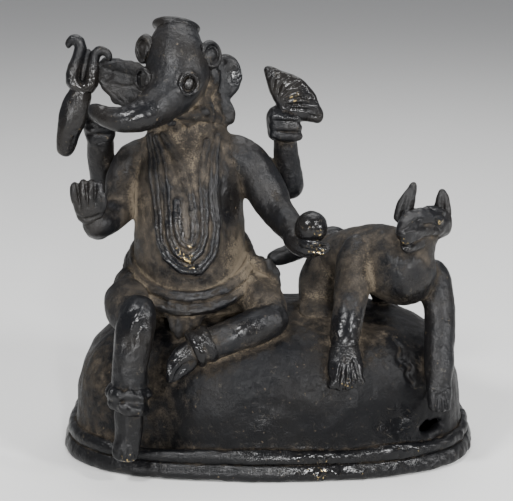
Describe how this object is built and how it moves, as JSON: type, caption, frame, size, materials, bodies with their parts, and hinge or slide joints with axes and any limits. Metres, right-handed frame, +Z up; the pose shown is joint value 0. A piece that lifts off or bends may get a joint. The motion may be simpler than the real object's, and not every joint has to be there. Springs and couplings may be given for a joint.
{
  "type": "ganesha idol",
  "caption": "Small hollow-cast dark bronze idol: a seated four-armed elephant-headed figure beside its rat, on a hollow domed base with a coiled rim.",
  "frame": {"origin": "under the middle of the whole idol's bounding box, on the surface it stands on", "axes": "+Z up, the figure faces -Y, +X to the viewer's right, where the rat is"},
  "size_m": [0.129, 0.0788, 0.1334],
  "materials": {
    "bronze_dark": "dark, nearly black patina, semi-gloss, finely crazed and pitted",
    "bronze_worn": "dark patina rubbed to a gloss, with small golden flecks where it is worn through",
    "bronze_crusted": "matt brown and tan crust of dust and earth lying in the hollows"
  },
  "bodies": {
    "root": {"torso": "bronze_dark", "head_and_trunk": "bronze_dark", "neck": "bronze_crusted", "base_dome": "bronze_crusted", "base_rim_lower": "bronze_worn", "base_rim_upper": "bronze_worn", "hips": "bronze_crusted", "loincloth": "bronze_crusted", "rat_body": "bronze_dark", "rat_head": "bronze_dark", "crown_disc": "bronze_worn", "lower_jaw": "bronze_crusted", "temple_boss_right": "bronze_dark", "temple_boss_left": "bronze_dark", "eye_right": "bronze_worn", "eye_left": "bronze_worn", "ear_right": "bronze_dark", "ear_left": "bronze_dark", "collar": "bronze_crusted", "necklace_outer": "bronze_worn", "necklace_middle": "bronze_worn", "necklace_inner": "bronze_worn", "waist_coil_upper": "bronze_worn", "waist_coil_lower": "bronze_worn", "left_thigh": "bronze_crusted", "right_thigh": "bronze_crusted", "left_shin": "bronze_dark", "right_shin": "bronze_dark", "left_anklet": "bronze_worn", "right_anklet": "bronze_worn", "left_foot": "bronze_dark", "right_foot": "bronze_worn", "sash_knot": "bronze_crusted", "front_right_arm": "bronze_dark", "front_left_arm": "bronze_dark", "rear_right_arm": "bronze_dark", "rear_left_arm": "bronze_dark", "modak_ball": "bronze_worn", "front_right_hand": "bronze_dark", "front_left_hand": "bronze_worn", "goad_shaft": "bronze_worn", "goad_fork": "bronze_worn", "goad_tine": "bronze_crusted", "rear_right_hand": "bronze_dark", "axe_blade": "bronze_worn", "rear_left_hand": "bronze_dark", "bangle_front_right": "bronze_worn", "rat_brow": "bronze_worn", "rat_ear_right": "bronze_dark", "rat_ear_left": "bronze_dark", "rat_eye_right": "bronze_worn", "rat_eye_left": "bronze_worn", "rat_front_right_leg": "bronze_dark", "rat_front_left_leg": "bronze_dark", "rat_rear_right_leg": "bronze_dark", "rat_rear_left_leg": "bronze_dark", "rat_front_right_paw": "bronze_worn", "rat_front_left_paw": "bronze_worn", "rat_rear_right_paw": "bronze_crusted", "rat_tail": "bronze_dark"}
  },
  "joints": []
}
